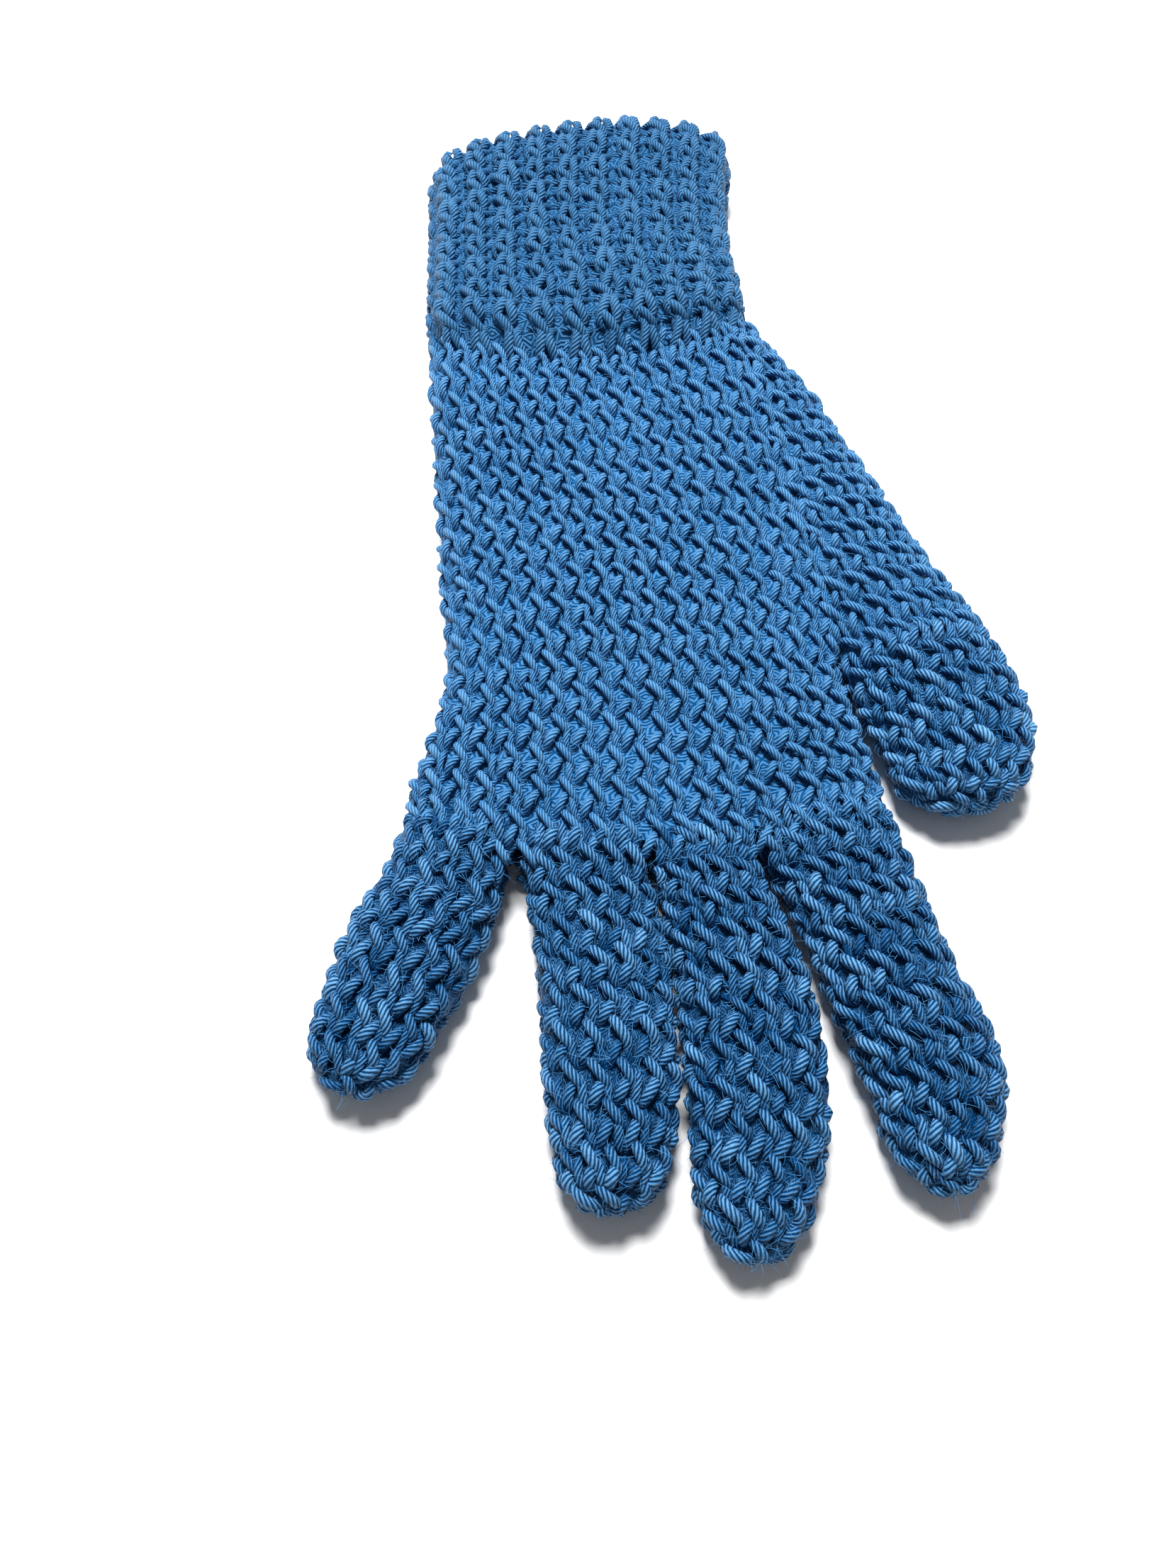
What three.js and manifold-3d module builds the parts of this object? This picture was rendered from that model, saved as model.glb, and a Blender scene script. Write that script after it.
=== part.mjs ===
// Wool glove: a hand-knitted glove lying palm down, thumb to +X and fingertips to -Y.
// Every subcomponent is a hollow knitted tube, flattened where it lies on the floor.
// Millimetres, +Z up, floor at z = 0.

import * as THREE from 'three';
import { mergeVertices } from 'three/addons/utils/BufferGeometryUtils.js';
import Module from 'manifold-3d';

const wasm = await Module();
wasm.setup();

// Cloth and seams
const clothWall = 3.0;
const ribWall = 3.6;
const seamGap = 0.4;

// Cross-section of a puffed tube of cloth: rounded on top, flatter underneath
const roundPower = 2.25;
const floorPower = 4.0;
const middleShare = 0.46;
const floorPress = 1.05;

// Points round one section
const digitPoints = 20;
const palmPoints = 40;
const ribCount = 20;
const pointsPerRib = 3;
const ribDepth = 0.55;

// How far a bore runs past an open end, and the palm's room past its last full section
const endOverrun = 4.0;
const knuckleRoom = 2.0;

// Shrinking steps of a closed fingertip, as shares of its length
const tipSteps = [0.35, 0.62, 0.82, 0.94, 0.99];

// Sections run across each tube, from its left edge to its right edge.
// `top` is the height of the crown, `bow` how far the middle leans towards the fingers.
const cuffRows = [
  { left: [-56.6, 66.4], right: [18.6, 72.4], top: 17.6, bow: 12.0 },
  { left: [-57.2, 70.0], right: [18.2, 76.0], top: 20.0, bow: 11.0 },
  { left: [-57.6, 77.0], right: [17.8, 83.0], top: 20.6, bow: 8.0 },
  { left: [-58.0, 86.0], right: [16.6, 92.0], top: 20.0, bow: 5.0 },
  { left: [-58.5, 97.0], right: [16.2, 103.6], top: 19.8, bow: 2.5 },
  { left: [-59.1, 108.0], right: [16.3, 115.0], top: 20.2, bow: 1.0 },
  { left: [-59.7, 116.6], right: [17.3, 125.6], top: 20.8, bow: -1.0 },
  { left: [-59.6, 122.2], right: [17.5, 132.2], top: 20.6, bow: -2.0 },
  { left: [-58.8, 125.0], right: [16.9, 135.4], top: 19.6, bow: -2.0 },
];

const palmRows = [
  { left: [-56.4, 74.0], right: [18.8, 80.0], top: 16.4, bow: 12.0 },
  { left: [-56.4, 64.4], right: [19.8, 70.4], top: 16.0, bow: 12.0 },
  { left: [-56.0, 54.0], right: [21.4, 60.0], top: 16.8, bow: 8.5 },
  { left: [-55.0, 42.5], right: [23.6, 48.0], top: 17.2, bow: 5.0 },
  { left: [-53.8, 30.0], right: [25.8, 34.0], top: 17.2, bow: 2.5 },
  { left: [-52.6, 18.0], right: [27.6, 20.5], top: 17.0, bow: 1.0 },
  { left: [-51.0, 6.0], right: [29.2, 7.0], top: 17.0, bow: 0.0 },
  { left: [-49.9, -5.0], right: [30.4, -5.0], top: 17.0, bow: 0.0 },
  { left: [-48.9, -16.6], right: [31.2, -16.6], top: 16.8, bow: 0.0 },
  { left: [-48.2, -25.6], right: [31.4, -25.6], top: 16.4, bow: 0.0 },
  { left: [-49.2, -34.6], right: [33.4, -34.6], top: 15.8, bow: 1.0 },
  { left: [-51.6, -43.4], right: [35.2, -43.4], top: 15.0, bow: 3.0 },
  { left: [-53.4, -50.6], right: [37.0, -50.6], top: 14.2, bow: 5.0 },
  { left: [-53.6, -57.0], right: [38.0, -57.0], top: 13.2, bow: 6.0 },
  { left: [-53.0, -62.0], right: [37.8, -62.0], top: 11.8, bow: 7.0 },
];

const digits = {
  little_finger: {
    rows: [
      { left: [-46.6, -46.8], right: [-31.6, -52.6], top: 11.4 },
      { left: [-54.2, -57.6], right: [-33.6, -66.4], top: 13.4 },
      { left: [-56.8, -67.3], right: [-35.2, -74.6], top: 13.4 },
      { left: [-61.2, -75.6], right: [-38.0, -82.6], top: 13.2 },
      { left: [-64.1, -83.6], right: [-40.7, -90.1], top: 13.0 },
      { left: [-66.4, -91.6], right: [-44.4, -97.0], top: 12.4 },
    ],
    tip: [-60.6, -108.1],
  },
  ring_finger: {
    rows: [
      { left: [-28.6, -51.0], right: [-11.6, -50.0], top: 12.6 },
      { left: [-31.2, -64.6], right: [-9.3, -64.2], top: 13.0 },
      { left: [-30.4, -74.2], right: [-6.8, -73.8], top: 13.4 },
      { left: [-28.8, -86.6], right: [-4.7, -86.2], top: 13.8 },
      { left: [-27.6, -98.6], right: [-4.2, -98.2], top: 13.8 },
      { left: [-26.2, -110.6], right: [-4.2, -110.2], top: 13.2 },
      { left: [-24.8, -118.2], right: [-5.6, -117.8], top: 12.2 },
    ],
    tip: [-15.6, -127.1],
  },
  middle_finger: {
    rows: [
      { left: [-6.4, -47.6], right: [7.4, -45.8], top: 13.0 },
      { left: [-8.1, -62.6], right: [10.1, -61.6], top: 13.4 },
      { left: [-5.8, -74.6], right: [14.4, -73.6], top: 14.0 },
      { left: [-3.8, -86.6], right: [18.8, -86.1], top: 14.2 },
      { left: [-3.3, -98.6], right: [21.0, -98.1], top: 14.2 },
      { left: [-3.2, -110.6], right: [21.6, -110.1], top: 13.6 },
      { left: [-2.6, -121.6], right: [19.4, -121.1], top: 12.0 },
    ],
    tip: [7.4, -135.4],
  },
  index_finger: {
    rows: [
      { left: [13.0, -47.8], right: [32.2, -44.4], top: 12.0 },
      { left: [11.3, -61.6], right: [38.0, -56.6], top: 13.6 },
      { left: [15.6, -71.6], right: [41.0, -67.6], top: 14.0 },
      { left: [19.2, -81.6], right: [43.6, -77.6], top: 14.2 },
      { left: [22.4, -92.1], right: [46.4, -88.6], top: 14.2 },
      { left: [25.4, -100.6], right: [49.8, -96.6], top: 14.0 },
      { left: [28.0, -108.6], right: [51.0, -105.4], top: 13.4 },
      { left: [29.6, -114.4], right: [49.7, -112.6], top: 12.2 },
    ],
    tip: [40.3, -124.4],
  },
  thumb: {
    rows: [
      { left: [-2.0, 67.0], right: [20.6, 74.0], top: 11.0 },
      { left: [2.0, 56.0], right: [25.3, 63.6], top: 12.6 },
      { left: [6.0, 43.0], right: [32.6, 50.8], top: 13.8 },
      { left: [11.0, 29.4], right: [38.5, 36.0], top: 14.6 },
      { left: [15.6, 16.0], right: [44.6, 20.2], top: 15.2 },
      { left: [20.8, 2.4], right: [50.6, 5.8], top: 15.6 },
      { left: [25.8, -10.1], right: [56.4, -5.2], top: 15.6 },
      { left: [30.4, -22.1], right: [61.0, -14.0], top: 15.4 },
      { left: [32.9, -30.6], right: [65.0, -23.8], top: 15.2 },
      { left: [35.4, -37.6], right: [67.3, -33.4], top: 14.8 },
      { left: [38.2, -46.1], right: [66.6, -43.4], top: 13.6 },
    ],
    tip: [51.8, -55.2],
  },
};

// Where the hand ends: knuckle line from the little finger to the index finger,
// then up the side of the palm to the fork of the thumb and along the thumb seam
const knuckleLine = [
  [-95.0, -38.6],
  [-55.2, -54.2],
  [-32.2, -63.2],
  [-8.7, -62.8],
  [10.8, -60.8],
  [41.0, -53.8],
];
const thumbForkLine = [
  [39.3, -48.6],
  [35.7, -40.6],
  [33.8, -34.6],
  [31.9, -28.6],
  [31.6, -24.4],
];
const thumbSeamEnd = -9.8;

// Where the thumb gusset meets the palm and the back of the hand, from the wrist past the fork
const gussetLine = [
  [8.0, 110.0],
  [14.0, 70.0],
  [19.5, 48.0],
  [24.5, 20.0],
  [29.0, -5.0],
  [31.9, -26.0],
];

// Beyond every edge of the glove
const farSide = 95.0;

// One closed loop across a tube, inset by the thickness of its cloth.
function sectionLoop(row, count, inset, ribs) {
  const left = new THREE.Vector2(...row.left);
  const right = new THREE.Vector2(...row.right);
  const centre = left.clone().add(right).multiplyScalar(0.5);
  const across = right.clone().sub(centre);
  const half = across.length() - inset;
  across.normalize();
  const low = (row.lift ?? 0) + inset;
  const high = row.top - inset;
  const middle = low + (high - low) * middleShare;
  const loop = [];
  for (let k = 0; k < count; k += 1) {
    const angle = (2 * Math.PI * k) / count;
    const rib = ribs ? ribDepth * Math.cos(ribs * angle) : 0;
    const c = Math.cos(angle);
    const s = Math.sin(angle);
    const power = s < 0 ? floorPower : roundPower;
    const u = Math.sign(c) * Math.abs(c) ** (2 / roundPower);
    const v = Math.sign(s) * Math.abs(s) ** (2 / power);
    const rise = s < 0 ? (middle - low) * floorPress : high - middle;
    const reach = u * (half + rib);
    const bow = (row.bow ?? 0) * (1 - u * u);
    const x = centre.x + across.x * reach;
    const y = centre.y + across.y * reach - bow;
    const z = Math.max(low, middle + v * (rise + (s > 0 ? rib : 0)));
    loop.push([x, y, z]);
  }
  return loop;
}

// Closed solid through a list of loops with equal point counts.
function loftSolid(loops) {
  const count = loops[0].length;
  const positions = loops.flat(2);
  const index = [];
  for (let r = 0; r + 1 < loops.length; r += 1) {
    for (let k = 0; k < count; k += 1) {
      const a = r * count + k;
      const b = r * count + ((k + 1) % count);
      index.push(a, b, a + count, b, b + count, a + count);
    }
  }
  addCap(positions, index, loops[0], 0, false);
  addCap(positions, index, loops.at(-1), (loops.length - 1) * count, true);
  const solid = toManifold(positions, index);
  return solid.volume() < 0 ? toManifold(positions, index.reverse()) : solid;
}

// Fan from the middle of an end loop.
function addCap(positions, index, loop, first, last) {
  const hub = positions.length / 3;
  for (let axis = 0; axis < 3; axis += 1) {
    positions.push(loop.reduce((sum, point) => sum + point[axis], 0) / loop.length);
  }
  for (let k = 0; k < loop.length; k += 1) {
    const a = first + k;
    const b = first + ((k + 1) % loop.length);
    if (last) index.push(hub, a, b);
    else index.push(hub, b, a);
  }
}

function toManifold(positions, index) {
  const vertProperties = new Float32Array(positions);
  const triVerts = new Uint32Array(index);
  return new wasm.Manifold(new wasm.Mesh({ numProp: 3, vertProperties, triVerts }));
}

// Rows of a digit, with the shrinking sections of its closed tip added.
function rowsWithTip({ rows, tip }, inset) {
  const last = rows.at(-1);
  const left = new THREE.Vector2(...last.left);
  const right = new THREE.Vector2(...last.right);
  const centre = left.clone().add(right).multiplyScalar(0.5);
  const half = right.clone().sub(left).multiplyScalar(0.5);
  const reach = new THREE.Vector2(...tip).sub(centre);
  reach.multiplyScalar(1 - inset / reach.length());
  const middle = last.top * middleShare;
  const closing = tipSteps.map((step) => {
    const size = Math.sqrt(1 - step * step);
    const at = centre.clone().addScaledVector(reach, step);
    const across = half.clone().setLength(inset + (half.length() - inset) * size);
    return {
      left: at.clone().sub(across).toArray(),
      right: at.clone().add(across).toArray(),
      top: middle + inset * 0.5 + (last.top - middle - inset * 0.5) * size,
      lift: (middle - inset * 0.5) * (1 - size),
    };
  });
  return [...rows, ...closing];
}

function tube(rows, count, inset, ribs = 0) {
  return loftSolid(rows.map((row) => sectionLoop(row, count, inset, ribs)));
}

// Upright block over an outline on the floor.
function uprightBlock(outline) {
  const shape = new THREE.Shape(outline.map((point) => new THREE.Vector2(...point)));
  const block = new THREE.ExtrudeGeometry(shape, { depth: 60, bevelEnabled: false });
  block.translate(0, 0, -20);
  block.deleteAttribute('normal');
  block.deleteAttribute('uv');
  const welded = mergeVertices(block, 1e-4);
  return toManifold(welded.attributes.position.array, welded.index.array);
}

// Ground on the hand's side of the finger and thumb seams, pushed out by `gap`.
function handGround(gap) {
  const knuckles = knuckleLine.map(([x, y]) => [x, y - gap]);
  const side = thumbForkLine.map(([x, y]) => [x + gap, y]);
  const fork = side.pop();
  return uprightBlock([
    ...knuckles,
    ...side,
    [fork[0], fork[1] - gap],
    [farSide, thumbSeamEnd - gap],
    [farSide, farSide * 2],
    [-farSide, farSide * 2],
  ]);
}

// Ground on the gusset's side of the line where it meets the palm, moved sideways by `shift`.
function gussetGround(shift) {
  return uprightBlock([
    ...gussetLine.map(([x, y]) => [x + shift, y]),
    [farSide, thumbSeamEnd - endOverrun],
    [farSide, farSide * 2],
  ]);
}

// Ground on the fingers' side of the cuff seam.
function cuffSeamGround() {
  const seam = sectionLoop(cuffRows[0], palmPoints, 0, 0)
    .slice(0, palmPoints / 2 + 1)
    .map(([x, y]) => [x, y - seamGap]);
  return uprightBlock([
    [-farSide, -farSide],
    [farSide, -farSide],
    [farSide, seam[0][1]],
    ...seam,
    [-farSide, seam.at(-1)[1]],
  ]);
}

// The same section, shifted along the glove.
function movedAlong(row, distance) {
  const shift = ([x, y]) => [x, y + distance];
  return { ...row, left: shift(row.left), right: shift(row.right) };
}

function buildCuff() {
  const first = cuffRows[0];
  const last = cuffRows.at(-1);
  const outside = tube(cuffRows, ribCount * pointsPerRib, 0, ribCount);
  const longer = [movedAlong(first, -endOverrun), ...cuffRows, movedAlong(last, endOverrun)];
  return outside.subtract(tube(longer, palmPoints, ribWall));
}

// Palm, back of the hand and thumb gusset, still in one piece.
function buildHandWithGusset() {
  const shapes = Object.values(digits);
  const room = palmRows.slice(0, -2);
  const outer = shapes.reduce(
    (sum, digit) => sum.add(tube(digit.rows, digitPoints, 0)),
    tube(palmRows, palmPoints, 0),
  );
  const inner = shapes.reduce(
    (sum, digit) => sum.add(tube(digit.rows, digitPoints, clothWall)),
    tube([...room, movedAlong(room.at(-1), -knuckleRoom)], palmPoints, clothWall),
  );
  return outer.intersect(handGround(0)).intersect(cuffSeamGround()).subtract(inner);
}

function buildDigit(digit) {
  const outside = tube(rowsWithTip(digit, 0), digitPoints, 0);
  const inside = tube(rowsWithTip(digit, clothWall), digitPoints, clothWall);
  return outside.subtract(inside).subtract(handGround(seamGap));
}

function addMesh(group, name, solid, colour) {
  const made = solid.getMesh();
  const geometry = new THREE.BufferGeometry();
  const positions = new THREE.BufferAttribute(new Float32Array(made.vertProperties), 3);
  geometry.setAttribute('position', positions);
  geometry.setIndex([...made.triVerts]);
  geometry.computeVertexNormals();
  const material = new THREE.MeshStandardMaterial({ color: colour, roughness: 0.95, metalness: 0 });
  material.name = 'blue_wool_yarn';
  const mesh = new THREE.Mesh(geometry, material);
  mesh.name = name;
  group.add(mesh);
}

const glove = new THREE.Group();
glove.name = 'wool_glove';
addMesh(glove, 'cuff', buildCuff(), '#2f6f9f');
const handWithGusset = buildHandWithGusset();
addMesh(glove, 'hand', handWithGusset.subtract(gussetGround(-seamGap / 2)), '#2f6f9f');
addMesh(glove, 'thumb_gusset', handWithGusset.intersect(gussetGround(seamGap / 2)), '#2f6f9f');
for (const [name, digit] of Object.entries(digits)) {
  addMesh(glove, name, buildDigit(digit), '#2f6f9f');
}

// The floor under the middle of the glove is the origin.
const extent = new THREE.Box3().setFromObject(glove);
const middle = extent.getCenter(new THREE.Vector3());
for (const mesh of glove.children) {
  mesh.geometry.translate(-middle.x, -middle.y, -extent.min.z);
}

export default glove;
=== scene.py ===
# Wool glove, knitted stitch by stitch: each course of loops is one swept strand of plied yarn.
# Lengths in the tables are millimetres; everything made for Blender is in metres.

import math

import bpy
import numpy as np
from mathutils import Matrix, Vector


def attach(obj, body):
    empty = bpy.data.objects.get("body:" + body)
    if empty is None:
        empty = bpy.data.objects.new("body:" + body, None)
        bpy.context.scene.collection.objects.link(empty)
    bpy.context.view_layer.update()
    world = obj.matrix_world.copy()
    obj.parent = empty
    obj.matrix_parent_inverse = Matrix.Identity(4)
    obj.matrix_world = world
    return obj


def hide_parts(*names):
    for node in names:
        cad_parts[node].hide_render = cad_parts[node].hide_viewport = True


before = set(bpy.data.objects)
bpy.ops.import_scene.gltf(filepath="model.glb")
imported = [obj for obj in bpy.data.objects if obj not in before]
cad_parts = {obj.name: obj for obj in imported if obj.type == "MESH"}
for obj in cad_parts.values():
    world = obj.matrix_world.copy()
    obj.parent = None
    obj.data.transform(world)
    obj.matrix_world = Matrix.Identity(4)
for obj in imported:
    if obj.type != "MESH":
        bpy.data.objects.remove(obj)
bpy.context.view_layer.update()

MM = 0.001
SEED = 20

# Added to x and y of the section tables, so that they lie in the frame as the solids do
TABLE_SHIFT = np.array([0.11, -0.09])

# Camera: place over the floor in mm, pitch below the horizon in degrees, lens on the picture's long side
CAMERA_AT = (-19.1, -152.7, 205.0)
CAMERA_PITCH = 62.465
LENS = 27.03
SENSOR = 36.0
CLIP_START = 0.01

# Light, in metres and watts: an even studio, one soft window above and behind the cuff, and half the
# width of the floor
STUDIO_LIGHT = 0.20
WINDOW_AT = (-0.1, 0.5, 0.95)
WINDOW_POWER = 24.5
WINDOW_SIZE = 0.36
FLOOR_REACH = 3.0

# Knitting: radius of the yarn, which is drawn tighter in the hand than in the digits, width of a stitch,
# height of a course, and how deep the middle of the cloth lies under its outer face
HAND_YARN = 0.70
DIGIT_YARN = 0.84
CUFF_YARN = 1.02
WALE = 4.75
COURSE = 3.45
DIGIT_WALE = 4.45
DIGIT_COURSE = 3.3
RIB_COURSE = 4.2
INSET = 1.75

# Stitches round the hand and the cuff, and the fewest and narrowest that a closing tip keeps
HAND_WALES = 36
CUFF_WALES = 42
FEWEST_STITCHES = 4
NARROWEST_STITCH = 3.1
TIP_STITCH = 3.4

# Mesh of the yarn: sides of a strand, points along one stitch, steps of the curve that they are taken
# from, points over which a cut end shrinks, and what is left of its radius
STRAND_SIDES = 7
STITCH_STEPS = 16
CURVE_STEPS = 8
END_POINTS = 2.0
END_RADIUS = 0.25

# Least room between the yarn or a fibre and the floor
YARN_ROOM = 0.08
FIBRE_ROOM = 0.1

# How far each course leans to the thumb's side, as twisted stitches make it, and how far the plain courses
# sit to the side of the twisted ones, in stitch widths
LEAN = 0.12
PLAIN_SHIFT = 0.34

# Ribbing: share of a rib's width that its raised stitch takes, share of its height that it keeps in even
# and in odd courses, height of the rib's own wave, and depth of the sunk stitch
RAISED_SHARE = 0.80
RAISED_HEIGHT = (0.85, 0.7)
RIB_RELIEF = 0.35
SUNK_LIFT = -1.7

# How unevenly the stitches lie: height of a loop, slip and tilt to the side and place along the tube, all
# as shares of a stitch, height out of the cloth in mm, thickness as a share, and how many times as uneven
# the fingers and the thumb are
UNEVEN_HEIGHT = 0.06
UNEVEN_SLIP = 0.04
UNEVEN_TILT = 0.05
UNEVEN_PLACE = 0.05
UNEVEN_LIFT = 0.08
UNEVEN_YARN = 0.05
DIGIT_UNEVENNESS = 1.5

# How the cloth wanders in x, in y and in z: how far, and the length of its waves over x and over y
WANDER = [
    (0.28, 7.3, 9.1),
    (0.25, 8.7, 6.9),
    (0.35, 11.0, 12.7),
]

# Tone of the yarn: its middle, how it differs between stitches, and a painted shade: how it brightens with
# each mm that the yarn stands out of the cloth, darkening where it sinks between the stitches, and from
# which depth to which height it does
TONE_MIDDLE = 0.5
TONE_UNEVEN = 0.10
PAINTED_SHADE_BY_LIFT = 0.30
PAINTED_SHADE_LIFTS = (-1, 1.2)

# Inner face of the cloth, seen between the stitches: depth under its middle, and tone, kept low as a painted
# shade in the gaps between the stitches
INNER_FACE = (0.6, 0.25)
DIGIT_INNER_FACE = (0.7, 0.35)
RIB_INNER_FACE = (0.8, 0.3)

# How far over the middle of the cloth its inner face comes at the sides of a tube, where the felted
# stitches let no light through
EDGE_FILL = 0.8

# How far the fibres of the inner face wander, in mm of yarn, and how fast over its rows and columns
FELT_SWIRL = 1.6
FELT_TURNS = (2.1, 1.7)

# How far towards the wrist the inner face of a digit takes over from that of the hand, and how many of the
# cloth's points it takes one from
INNER_REACH = 4.0
INNER_STEP = 2

# Path of the yarn through one stitch, with the fingertips down, in three kinds of loop:
# side in stitch widths, along in courses, out of the cloth in mm, thickness of the yarn
TWISTED_LOOP = [
    (-0.50, -0.98, -0.98, 0.92),
    (-0.44, -0.92, -0.60, 0.94),
    (-0.37, -0.76, 0.20, 1.00),
    (-0.27, -0.55, 0.85, 1.08),
    (-0.15, -0.32, 1.05, 1.10),
    (-0.03, -0.08, 1.05, 1.10),
    (0.08, 0.16, 0.85, 1.08),
    (0.17, 0.42, 0.30, 1.02),
    (0.20, 0.70, -0.50, 0.94),
    (0.12, 0.92, -0.90, 0.92),
    (-0.02, 1.00, -0.98, 0.92),
    (-0.15, 0.80, -0.95, 0.92),
    (-0.15, 0.45, -0.88, 0.92),
    (-0.04, 0.08, -0.88, 0.92),
    (0.13, -0.35, -0.92, 0.92),
    (0.32, -0.78, -0.98, 0.92),
]
PLAIN_LOOP = [
    (-0.50, -1.00, -0.98, 0.92),
    (-0.43, -1.08, -0.75, 0.92),
    (-0.36, -1.00, -0.15, 0.92),
    (-0.34, -0.78, 0.30, 0.92),
    (-0.34, -0.46, 0.42, 0.92),
    (-0.34, -0.12, 0.30, 0.92),
    (-0.32, 0.18, -0.10, 0.92),
    (-0.27, 0.40, -0.60, 0.92),
    (-0.14, 0.50, -0.98, 0.92),
    (0.00, 0.36, -0.60, 1.00),
    (0.03, 0.16, 0.15, 1.14),
    (0.10, -0.08, 0.75, 1.22),
    (0.18, -0.32, 0.90, 1.22),
    (0.27, -0.56, 0.60, 1.12),
    (0.35, -0.80, -0.20, 1.00),
    (0.42, -0.98, -0.85, 0.92),
]
RIB_LOOP = [
    (-0.50, -0.95, -0.95, 0.92),
    (-0.30, -1.00, -0.80, 0.94),
    (-0.12, -0.88, -0.30, 1.00),
    (-0.05, -0.62, 0.35, 1.06),
    (-0.10, -0.30, 0.75, 1.10),
    (-0.17, 0.02, 0.85, 1.12),
    (-0.24, 0.34, 0.70, 1.10),
    (-0.28, 0.64, 0.20, 1.02),
    (-0.24, 0.90, -0.50, 0.94),
    (-0.10, 1.02, -0.95, 0.92),
    (0.12, 1.02, -0.90, 0.92),
    (0.29, 0.84, -0.20, 1.00),
    (0.32, 0.50, 0.50, 1.08),
    (0.26, 0.12, 0.80, 1.12),
    (0.19, -0.28, 0.60, 1.08),
    (0.22, -0.68, -0.20, 0.98),
]

# Loose fibres, in mm: usual lengths, width at the root and height of the root over the cloth's middle.
# Real wool is 0.03 mm wide, too fine to show, so each hair is drawn twice as wide
SHORT_FIBRE = 2.0
LONG_FIBRE = 8.0
FIBRE_WIDTH = 0.06
FIBRE_ROOT = 0.9
FIBRE_STEPS = 6

# Shape of a fibre, as shares of its length: evenness of the lengths, curl to the side, least and most
# rise, how soon it falls again, width of its tip, and how much of its steepness a drooping one keeps
FIBRE_EVENNESS = 3.0
FIBRE_CURL = 0.6
FIBRE_RISE = (0.1, 0.7)
FIBRE_FALL = 0.8
FIBRE_TIP = 0.4
FIBRE_DROOP = 0.25

# How many fibres are strewn over each tube, of which its region keeps its share
HAND_FIBRES = 3000
CUFF_FIBRES = 1800
GUSSET_FIBRES = 500
DIGIT_FIBRES = 1500
HAND_LONG_FIBRES = 60
RING_FINGER_LONG_FIBRES = 30

# Cross-section of a puffed tube of cloth: how square it is on top and where it lies, the height of its
# widest place as a share of the whole, and the steps of its outline
ROUND_POWER = 2.25
FLOOR_POWER = 4.0
MIDDLE_SHARE = 0.46
OUTLINE_STEPS = 240

# Where a closing tip has its sections, as shares of its length
TIP_STEPS = (0.35, 0.62, 0.82, 0.94, 0.99)

# Heights of the whole glove, from which its valleys are filled: corner, cells, their size and the blur
VALLEY_CORNER = np.array([-75.0, -145.0])
VALLEY_CELLS = (160, 240)
VALLEY_CELL = 1.0
VALLEY_BLUR = 2.4


def camera():
    data = bpy.data.cameras.new("camera")
    data.sensor_fit = "AUTO"
    data.sensor_width = SENSOR
    data.lens = LENS
    data.clip_start = CLIP_START
    made = bpy.data.objects.new("camera", data)
    made.location = Vector(CAMERA_AT) * MM
    made.rotation_euler = (math.radians(90.0 - CAMERA_PITCH), 0.0, 0.0)
    bpy.context.scene.collection.objects.link(made)
    bpy.context.scene.camera = made
    bpy.context.scene.view_settings.view_transform = "Standard"


camera()


# The last courses of the cuff turn down under the hand
TUCKED = (-55.8, 62.6, 19.0, 68.6, 14.4, 12.0)

# Section tables: left edge x y, right edge x y, crown height, bow towards the fingers
CUFF = [
    (-56.6, 66.4, 18.6, 72.4, 17.6, 12.0),
    (-57.2, 70.0, 18.2, 76.0, 20.0, 11.0),
    (-57.6, 77.0, 17.8, 83.0, 20.6, 8.0),
    (-58.0, 86.0, 16.6, 92.0, 20.0, 5.0),
    (-58.5, 97.0, 16.2, 103.6, 19.8, 2.5),
    (-59.1, 108.0, 16.3, 115.0, 20.2, 1.0),
    (-59.7, 116.6, 17.3, 125.6, 20.8, -1.0),
    (-59.6, 122.2, 17.5, 132.2, 20.6, -2.0),
    (-58.8, 125.0, 16.9, 135.4, 19.6, -2.0),
]
PALM = [
    (-56.4, 74.0, 18.8, 80.0, 16.4, 12.0),
    (-56.4, 64.4, 19.8, 70.4, 16.0, 12.0),
    (-56.0, 54.0, 21.4, 60.0, 16.8, 8.5),
    (-55.0, 42.5, 23.6, 48.0, 17.2, 5.0),
    (-53.8, 30.0, 25.8, 34.0, 17.2, 2.5),
    (-52.6, 18.0, 27.6, 20.5, 17.0, 1.0),
    (-51.0, 6.0, 29.2, 7.0, 17.0, 0.0),
    (-49.9, -5.0, 30.4, -5.0, 17.0, 0.0),
    (-48.9, -16.6, 31.2, -16.6, 16.8, 0.0),
    (-48.2, -25.6, 31.4, -25.6, 16.4, 0.0),
    (-49.2, -34.6, 33.4, -34.6, 15.8, 1.0),
    (-51.6, -43.4, 35.2, -43.4, 15.0, 3.0),
    (-53.4, -50.6, 37.0, -50.6, 14.2, 5.0),
    (-53.6, -57.0, 38.0, -57.0, 13.2, 6.0),
    (-53.0, -62.0, 37.8, -62.0, 11.8, 7.0),
]

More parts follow.
